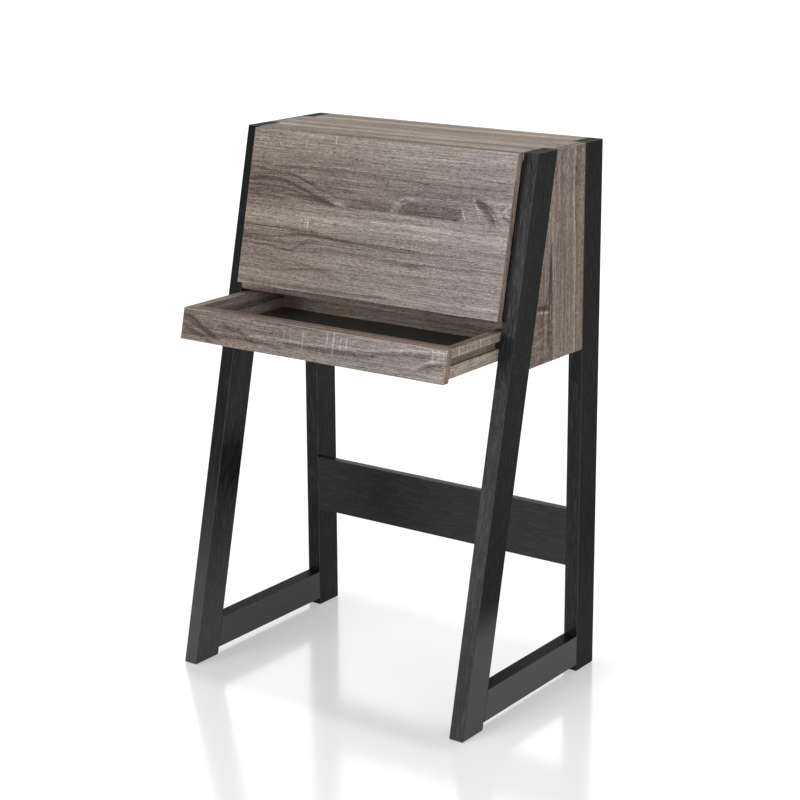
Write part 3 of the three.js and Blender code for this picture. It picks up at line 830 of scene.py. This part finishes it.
# Copies of the black by place: the lighter bases of the right front leg and the inner faces are painted
# light, and the darker base of the left front leg is painted shade.
NEAR_BLACK = {"base": "171717", "groove": "0A0A0A", "light": "2B2B2B"}
black_front = {
    "left": black_grain("black_front_left_painted_shade", UP_BOARD, OUT_OF_BOARD, 1, base="090909", light="232325",
                        painted_sheen=0.8, painted_sheen_top=420.0, gloss=0.28, mirror=1.145),
    "right": black_grain("black_front_right_painted_light", UP_BOARD, OUT_OF_BOARD, 7, base="2B2B2D", light="444548"),
}
black_outer = black_grain("black_outer", UP_BOARD, OUT_OF_BOARD, 8, **NEAR_BLACK, painted_sheen=1.0, painted_sheen_top=250.0,
                          painted_sheen_end=165.0, mirror=1.1)
black_inner_painted_light = black_grain("black_inner_painted_light", UP_BOARD, OUT_OF_BOARD, 9, base="1E1E1F", light="3A3A3B", painted_sheen=0.7)
black_back_leg = black_grain("black_back_leg", Z, Y, 2)
black_back_outer = black_grain("black_back_outer", Z, Y, 10, **NEAR_BLACK, painted_sheen=0.12, mirror=1.08)
black_end = black_grain("black_end", X, Y, 12, **NEAR_BLACK, gloss=0.4, mirror=1.07)
black_rail = black_grain("black_rail", Y, Z, 3, **NEAR_BLACK, gloss=0.3, mirror=1.09)
black_rail_side_painted_sheen = black_grain("black_rail_side_painted_sheen", Y, Z, 11, painted_sheen=1.0, painted_sheen_top=500.0, painted_sheen_end=300.0,
                              mirror=1.15)
# The stretcher's lighter black is painted sheen of the floor's reflection.
black_stretcher_painted_sheen = black_grain("black_stretcher_painted_sheen", X, Z, 4, base="262627", groove="18181A", light="343537")
black_cleat = black_grain("black_cleat", Y, Z, 5)
# The arrises get a lighter grey: a painted highlight.
black_arris_highlight = black_grain("black_arris_highlight", Z, Y, 6, base="3E3F42", groove="242526", light="4C4E52")
print("black finishes ready")

# %% [markdown]
# Four small finishes: the dark board of the drawer's bottom, the moulded plastic of the runners, the
# nylon of the glides under the feet, and the brushed zinc of the hinges, stays and pins.

# %% Finishes of the bottom, the plastic and the metal
def board_finish():
    material, surface, place = new_finish("black_bottom_board")
    across = place.along(X)
    back = place.along(Y)
    speck = place.noise(across / 1.4, back / 1.4, 3.0, 3.0, 0.7)
    grain = place.noise(across / 60.0, back / 2.0, 5.0, 3.0, 0.6)
    cloud = place.noise(across / 150.0, back / 90.0, 7.0, 2.0)
    shade = speck.mix(colour("3C3834"), colour("5E5851"), speck * 0.5 + grain * 0.5)
    shade = speck.mix(shade, colour("5A544D"), cloud.step(0.5, 0.8) * 0.25)
    connect(surface, Base_Color=shade, Roughness=0.5 + speck * 0.18, Normal=speck.relief(0.0001, 0.4))
    return material


def plastic_finish(name, base, light, scale):
    material, surface, place = new_finish(name)
    pebbles = cloudy(place, scale)
    across, back, up = (place.along(axis) / scale for axis in (X, Y, Z))
    scuffs = place.noise(across * 0.3, back * 0.05, up * 0.6, 2.0)
    shade = pebbles.mix(colour(base), colour(light), scuffs.step(0.55, 0.75) * 0.5 + pebbles * 0.15)
    connect(surface, Base_Color=shade, Roughness=0.42 + scuffs * 0.25, Normal=pebbles.relief(0.0001, 0.35))
    return material


def metal_finish(name, base, light, rough):
    material, surface, place = new_finish(name)
    across = place.along(X)
    back = place.along(Y)
    up = place.along(Z)
    brushed = place.noise(across / 6.0, (back + up) / 0.35, (back - up) / 9.0, 2.0, 0.6)
    cloud = cloudy(place, 14.0)
    shade = brushed.mix(colour(base), colour(light), brushed * 0.6 + cloud * 0.3)
    connect(surface, Base_Color=shade, Roughness=rough + brushed * 0.12 + (cloud - 0.5) * 0.1,
            Normal=brushed.relief(0.00005, 0.3), Metallic=1.0)
    return material


bottom_board = board_finish()
runner_plastic = plastic_finish("runner_plastic", "1A1A1B", "3C3C3D", 0.9)
glide_plastic = plastic_finish("glide_plastic", "3A3733", "5C5852", 0.7)
zinc = metal_finish("zinc", "76787B", "A2A4A6", 0.42)
screw_zinc = metal_finish("screw_zinc", "A4A6A8", "DADBDC", 0.34)
print("small finishes ready")

# %% [markdown]
# The legs. Each front leg is a straight board whose foot and top are cut level, so it can be made by
# moving the top of an upright block back by the lean. The back leg is upright. The edges are softened by
# a millimetre, which lets a black leg catch a thin line of light, and their lighter grey finish paints that
# line on as well, a painted highlight. Each board takes its size from its CAD node, and the body, the slot
# and the rounding that a group of boards shares are kept together.

# %% Legs, rails and stretcher
LEG_ROUND = 1.0 * MM
BOARD_ROUND = 0.8 * MM
ON_FRAME = ("desk", "black_frame", LEG_ROUND)
ON_CASE = ("desk", "grey_oak", BOARD_ROUND)


def plain_board(name, node, *finishing):
    """A board that fills its node's box. What follows the node says how it is dressed."""
    dress(start_block(name, *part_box(node)), node, *finishing)


def leaning_board(name, node, *finishing):
    """A board whose top is moved back by the lean, until it fills its node's box."""
    low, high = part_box(node)
    step = LEAN * (high.z - low.z)
    piece = start_block(name, low, (high.x, high.y - step, high.z))
    move_back(piece, "FACE", facing(Z), step)
    dress(piece, node, *finishing)


def bottom_rail(hand):
    node = "bottom_rail_" + hand
    low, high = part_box(node)
    piece = start_block("rail_bottom_" + hand, low, high)
    move_top_edge(piece, low, high, LEAN * (high.z - low.z))
    dress(piece, node, "desk", "black_frame", BOARD_ROUND, black_rail, (facing(X, -X), black_rail_side_painted_sheen),
          (on_arris, black_arris_highlight))


for hand, out in OUT.items():
    outside = facing(X * out)
    inside = facing(X * -out)
    leaning_board("leg_front_" + hand, "front_leg_" + hand, *ON_FRAME, black_front[hand],
                  (outside, black_outer), (inside, black_inner_painted_light), (facing(Z), black_end),
                  (on_arris, black_arris_highlight))
    plain_board("leg_back_" + hand, "back_leg_" + hand, *ON_FRAME, black_back_leg,
                (outside, black_back_outer), (facing(Z), black_end), (on_arris, black_arris_highlight))
    bottom_rail(hand)
plain_board("stretcher", "rear_stretcher", *ON_FRAME, black_stretcher_painted_sheen, (on_arris, black_arris_highlight))

# %% [markdown]
# The side panels fill the space between a leaning leg and an upright one, so each is a block whose front
# edge follows the leg. The panel's own edges are banded with a strip of the same print, which runs along
# each edge.

# %% Side panels
def side_panel(hand, finish):
    node = "side_panel_" + hand
    low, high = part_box(node)
    piece = start_block("panel_side_" + hand, low, high)
    move_top_edge(piece, low, high, behind_leg(high.z) - low.y)
    dress(piece, node, *ON_CASE, finish, (facing(Z, -Z), strip_y), (on_arris, arris_highlight_z))


side_panel("left", oak_side_left)
side_panel("right", oak_side_right)

# %% [markdown]
# The top, the worktop and the shelf reach between the legs at their sides. Each starts as the narrow
# board that fits between the legs. Its sides are scored where the legs' faces pass, and the strip between
# the scores is pulled outwards to the side panels.

# %% The top
BETWEEN_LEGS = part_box("back_panel")[1].x
BACK_LEG_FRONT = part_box("back_leg_right")[0].y - ROOM
PAST = 4 * MM


def tongued_board(name, node, tongue_front, lean):
    """A board between the legs, with tongues at both sides that reach the side panels."""
    low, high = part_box(node)
    piece = start_block(name, (-BETWEEN_LEGS, low.y, low.z), (BETWEEN_LEGS, high.y, high.z))
    cut(piece, (0, tongue_front, high.z), (0, 1, -lean))
    cut(piece, (0, BACK_LEG_FRONT, high.z), Y)
    for out in OUT.values():
        def beside_legs(place, normal):
            return normal.x * out > 0.9 and tongue_front - PAST < place.y < BACK_LEG_FRONT
        pull_out(piece, beside_legs, out * (high.x - BETWEEN_LEGS))
    return piece


top_low, top_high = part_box("top_panel")
top = tongued_board("top_board", "top_panel", behind_leg(top_high.z), LEAN)
move_top_edge(top, top_low, top_high, LEAN * (top_high.z - top_low.z))
dress(top, "top_panel", *ON_CASE, oak_top, (facing(X, -X), strip_y), (facing(Y), strip_x),
      (facing(OUT_OF_BOARD, share=0.8), strip_x), (on_arris, arris_highlight_x))

# %% [markdown]
# The hinges are let into the worktop's front edge and into the flap's lower edge. A cutter block with the
# leaf's size and a cutter rod with the knuckle's size take those recesses out. Cutters reach past the
# board, so that they leave no thin skin.

# %% The worktop and its recesses
LEAF_MIDDLE = 200.0
RECESS_HALF = 25.3 * MM
RECESS_REACH = 22.3 * MM
RECESS_DEEP = 1.8 * MM
KNUCKLE_RADIUS = 2.85 * MM
KNUCKLE_SIDES = 32
WORKTOP_ROUND = 0.48 * MM


def leaf_cutter(middle, front, back, foot, head):
    """A block as wide as a leaf's recess. The other measures count from the hinge line."""
    low = HINGE_LINE + Vector((middle - RECESS_HALF, front, foot))
    high = HINGE_LINE + Vector((middle + RECESS_HALF, back, head))
    return start_block("leaf_cutter", low, high)


def knuckle_cutter(middle):
    """A rod along the hinge line, a little wider than the knuckles."""
    place = HINGE_LINE + X * middle
    return start_rod("knuckle_cutter", KNUCKLE_SIDES, KNUCKLE_RADIUS, 2 * RECESS_HALF, place,
                     (0, math.pi / 2, 0))


worktop = tongued_board("worktop_board", "worktop", behind_leg(HINGE_LINE.z), LEAN)
for out in OUT.values():
    middle = LEAF_MIDDLE * out * MM
    carve(worktop, leaf_cutter(middle, -PAST, RECESS_REACH, -RECESS_DEEP, PAST))
    carve(worktop, knuckle_cutter(middle))
dress(worktop, "worktop", "desk", "grey_oak", WORKTOP_ROUND, oak_worktop, (facing(-Y), strip_worktop_painted_shade),
      (facing(Y), strip_x), (on_arris, strip_worktop_painted_shade))

# %% [markdown]
# The shelf stands behind the leaning legs, so its tongues start almost at its front edge, and that edge is
# square. The divider and the back are plain boards.

# %% Shelf, divider and back
SHELF_NOSE = 0.2 * MM

shelf = tongued_board("shelf_board", "inner_shelf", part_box("inner_shelf")[0].y + SHELF_NOSE, 0.0)
dress(shelf, "inner_shelf", *ON_CASE, oak_shelf, (facing(-Y), strip_x), (on_arris, arris_highlight_x))
plain_board("divider_board", "shelf_divider", *ON_CASE, oak_divider, (facing(-Y), strip_z),
            (on_arris, arris_highlight_z))
plain_board("back_board", "back_panel", *ON_CASE, oak_back, (facing(-Z), strip_x), (on_arris, arris_highlight_x))

# %% [markdown]
# The flap is a board of 15 mm that stands in front of the legs and leans with them. It is made upright on
# the hinge line, turned back by the lean, and its top is then cut level, as the real one is to meet the
# top panel.

# %% The flap
FLAP_THICK = 15 * MM
FLAP_GAP = 0.6 * MM
FLAP_SPARE = 330 * MM


def lean_over(piece):
    """Turns an upright piece about the hinge line, to lie along the closed flap."""
    choose(piece, "FACE", lambda place, normal: True)
    bpy.ops.transform.rotate(value=LEAN_ANGLE, orient_axis="X", center_override=HINGE_LINE)
    done()


flap_low, flap_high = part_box("fall_front")
flap = start_block("flap_board", (flap_low.x, HINGE_LINE.y - FLAP_THICK, HINGE_LINE.z + FLAP_GAP),
                   (flap_high.x, HINGE_LINE.y, HINGE_LINE.z + FLAP_SPARE))
lean_over(flap)
cut(flap, (0, 0, flap_high.z), Z, take_off=True)
print("the flap reaches back to", round(max(point.co.y for point in flap.data.vertices) / MM, 2), "mm")
for out in OUT.values():
    middle = LEAF_MIDDLE * out * MM
    leaf = leaf_cutter(middle, -RECESS_DEEP, PAST, -PAST, RECESS_REACH)
    lean_over(leaf)
    carve(flap, leaf)
    carve(flap, knuckle_cutter(middle))
dress(flap, "fall_front", "fall", "grey_oak", BOARD_ROUND, oak_flap, (facing(X, -X), strip_z),
      (facing(Z, -UP_BOARD), strip_x), (facing(-OUT_OF_BOARD), oak_inner_painted_light), (on_arris, arris_highlight_x))

# %% [markdown]
# The drawer: a front that leans like the flap, an inner front behind it, two sides with a groove that
# hangs on the runners, a back, and a thin black bottom. The groove is made by scoring each side twice and
# pushing the strip between the scores inwards.

# %% The drawer
GROOVE_DEEP = 10 * MM
DRAWER_SIDE_ROUND = 0.64 * MM
BOTTOM_ROUND = 0.3 * MM
ON_DRAWER = ("drawer", "grey_oak", BOARD_ROUND)


def drawer_side(hand, out):
    node = "drawer_side_" + hand
    low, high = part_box(node)
    foot = GROOVE_FOOT * MM
    head = GROOVE_HEAD * MM
    piece = start_block("drawer_side_board_" + hand, low, high)
    move_top_edge(piece, low, high, LEAN * (high.z - low.z))
    cut(piece, (0, 0, foot), Z)
    cut(piece, (0, 0, head), Z)
    pull_out(piece, lambda place, normal: normal.x * out > 0.9 and foot < place.z < head, -out * GROOVE_DEEP)
    bottom_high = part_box("drawer_bottom")[1]
    reach = out * (bottom_high.x + ROOM)
    carve(piece, start_block("rebate_cutter", (min(0, reach), low.y - PAST, low.z - PAST),
                             (max(0, reach), high.y + PAST, bottom_high.z + ROOM)))
    dress(piece, node, "drawer", "grey_oak", DRAWER_SIDE_ROUND, oak_drawer_side, (facing(Z), strip_y),
          (on_arris, arris_highlight_y))


leaning_board("drawer_front_board", "drawer_front", *ON_DRAWER, oak_drawer_front, (facing(Z, -Z), strip_x),
              (facing(X, -X), strip_z), (on_arris, arris_highlight_x))
leaning_board("drawer_inner_board", "drawer_inner_front", *ON_DRAWER, oak_inner_painted_light, (facing(Z), strip_x),
              (on_arris, arris_highlight_x))
for hand, out in OUT.items():
    drawer_side(hand, out)
plain_board("drawer_back_board", "drawer_back", *ON_DRAWER, oak_inner_painted_light, (facing(Z), strip_x),
            (on_arris, arris_highlight_x))
plain_board("drawer_bottom_board", "drawer_bottom", "drawer", "black_board", BOTTOM_ROUND, bottom_board)

# %% [markdown]
# Countersunk screws hold the hinges, the stay plates and the stay feet. One head is made looking up: a
# short rod with an inset, slightly domed top and a crossed recess. It is copied to each hole, turned to
# look out of its fitting, and the heads of one fitting are joined. Their places are measured in
# millimetres, on the desk for the case leaves and the plates, and along the closed flap for the flap
# leaves and the feet.

# %% Screws
SCREW_RADIUS = 2.6 * MM
SCREW_DEEP = 0.8 * MM
SCREW_SIDES = 28
HEAD_RIM = 0.5 * MM
HEAD_DOME = 0.1 * MM
HEAD_ROUND = 0.05 * MM
CROSS_LONG = 1.5 * MM
CROSS_HALF = 0.28 * MM
CROSS_DEEP = 0.45 * MM


def make_screw():
    head = start_rod("screw", SCREW_SIDES, SCREW_RADIUS, SCREW_DEEP, (0, 0, -SCREW_DEEP / 2))
    choose(head, "FACE", facing(Z))
    bpy.ops.mesh.inset(thickness=HEAD_RIM)
    bpy.ops.transform.translate(value=(0, 0, HEAD_DOME))
    done()
    for half_x, half_y in ((CROSS_LONG, CROSS_HALF), (CROSS_HALF, CROSS_LONG)):
        carve(head, start_block("recess_cutter", (-half_x, -half_y, -CROSS_DEEP), (half_x, half_y, MM)))
    soften(head, HEAD_ROUND, 1)
    return head


def on_flap(across, up, behind):
    """A place on the closed flap in millimetres, measured from the hinge line."""
    return HINGE_LINE + (X * across + UP_BOARD * up - OUT_OF_BOARD * behind) * MM


def fit_screws(name, body, turn, places):
    """Copies the screw to each place, turns it and joins the copies."""
    made = []
    for place in places:
        only(screw)
        bpy.ops.object.duplicate(linked=False)
        copy = bpy.context.active_object
        copy.rotation_euler = turn
        copy.location = place
        bpy.ops.object.transform_apply(location=True, rotation=True, scale=True)
        made.append(copy)
    only(*made)
    bpy.ops.object.join()
    piece = placed(name)
    paint(piece, screw_zinc)
    settle(piece, body, "fitting_steel")


LOOK_UP = (0, 0, 0.4)
LOOK_BEHIND = (-math.pi / 2 - LEAN_ANGLE, 0, 0)
LEAF_STEPS = (-17.0, 0.0, 17.0)
CASE_LEAF_BACK = -43.5
CASE_LEAF_TOP = 750.05
FLAP_LEAF_UP = 12.5
FLAP_LEAF_FACE = 0.05
PLATE_FACE = 302.95
PLATE_BACK = 6.27
PLATE_LEVELS = (786.0, 818.0)
FOOT_MIDDLE = 281.0
FOOT_LEVELS = (174.0, 200.0)
FOOT_FACE = 2.5

screw = make_screw()
for hand, out in OUT.items():
    across = [LEAF_MIDDLE * out + step for step in LEAF_STEPS]
    fit_screws("screws_hinge_case_" + hand, "desk", LOOK_UP,
               [Vector((x, CASE_LEAF_BACK, CASE_LEAF_TOP)) * MM for x in across])
    fit_screws("screws_hinge_flap_" + hand, "fall", LOOK_BEHIND,
               [on_flap(x, FLAP_LEAF_UP, FLAP_LEAF_FACE) for x in across])
    fit_screws("screws_stay_plate_" + hand, "desk", (0, -out * math.pi / 2, 0),
               [Vector((PLATE_FACE * out, PLATE_BACK, level)) * MM for level in PLATE_LEVELS])
    fit_screws("screws_stay_foot_" + hand, "fall", LOOK_BEHIND,
               [on_flap(FOOT_MIDDLE * out, level, FOOT_FACE) for level in FOOT_LEVELS])
bpy.data.objects.remove(screw)

# %% [markdown]
# The CAD fittings keep their shapes. Each gets its finish in the material slot that its node came with.

# %% Finishes of the CAD fittings
KEPT = (
    (("worktop_cleat_", "top_cleat_"), black_cleat),
    (("hinge_", "stay_"), zinc),
    (("shelf_pin_",), screw_zinc),
    (("drawer_runner_", "drawer_stop"), runner_plastic),
    (("front_glide_", "back_glide_"), glide_plastic),
)
for name, node in nodes.items():
    for starts, finish in KEPT:
        if name.startswith(starts):
            node.material_slots[0].material = finish
print("fittings finished")

# %% [markdown]
# A pale floor under plain studio light. The floor is nearly white and a little glossy, as a polished
# studio floor is, so it mirrors the feet softly. A tall soft lamp stands at the front left, where the
# front of the right leg mirrors it. A second one lights the right side, a small one hangs high overhead
# and draws the shadow, and the sky lights the rest. What the camera sees straight, in a mirror or through
# glass is brightened to white with the Light Path node, so that no extra light falls on the desk.

# %% Floor and light
FLOOR_SIZE = 60.0
FLOOR_GLOW = 0.36
FAR_GLOW = 0.12
FAR_FROM = 900.0
FAR_TO = 3000.0
SKY = 0.5

bpy.ops.object.select_all(action="DESELECT")
bpy.ops.mesh.primitive_plane_add(size=FLOOR_SIZE, location=(0, 0, 0))
floor = bpy.context.active_object
floor.name = "studio_floor"
floor_material, floor_surface, floor_place = new_finish("studio_floor")


def seen_rays(tree):
    """1 for rays from the camera, from a mirror or through glass, and 0 for those that light the desk."""
    start = Wire(tree, None)
    names = ("Is Camera Ray", "Is Glossy Ray", "Is Transmission Ray")
    straight, mirrored, through = (start.node("ShaderNodeLightPath", {}, {}, name) for name in names)
    return straight.larger(mirrored).larger(through)


out_x = floor_place.along(X)
out_y = floor_place.along(Y)
away = (out_x * out_x + out_y * out_y).root()
glow = seen_rays(floor_material.node_tree) * (FLOOR_GLOW + away.step(FAR_FROM, FAR_TO) * FAR_GLOW)
connect(floor_surface, Base_Color=(0.8, 0.8, 0.8, 1.0), Metallic=0.24, Roughness=0.15, IOR=1.5,
        Emission_Color=glow, Emission_Strength=1.0)
floor.data.materials.append(floor_material)

world = bpy.data.worlds.new("studio")
bpy.context.scene.world = world
world.use_nodes = True
sky = world.node_tree.nodes["Background"]
strength = SKY + seen_rays(world.node_tree) * (1.0 - SKY)
connect(sky, Strength=strength, Color=(1.0, 1.0, 1.0, 1.0))


def lamp(name, place, target, wide, tall, power):
    """A soft lamp that looks at a point."""
    data = bpy.data.lights.new(name, "AREA")
    data.shape = "RECTANGLE"
    data.size = wide
    data.size_y = tall
    data.energy = power
    made = bpy.data.objects.new(name, data)
    made.location = place
    made.rotation_euler = (Vector(target) - Vector(place)).to_track_quat("-Z", "Y").to_euler()
    bpy.context.scene.collection.objects.link(made)


lamp("front_lamp", (-2.15, -4.2, 1.35), (0, 0, 0.6), 1.25, 2.2, 86)
lamp("right_lamp", (3.6, -2.2, 1.8), (0, 0, 0.75), 2.5, 2.5, 42)
lamp("overhead_lamp", (0, 0.1, 8.0), (0, 0, 0), 0.5, 0.5, 140)
print("floor and lamps ready")

# %% Clearing the selection
bpy.ops.object.select_all(action="DESELECT")
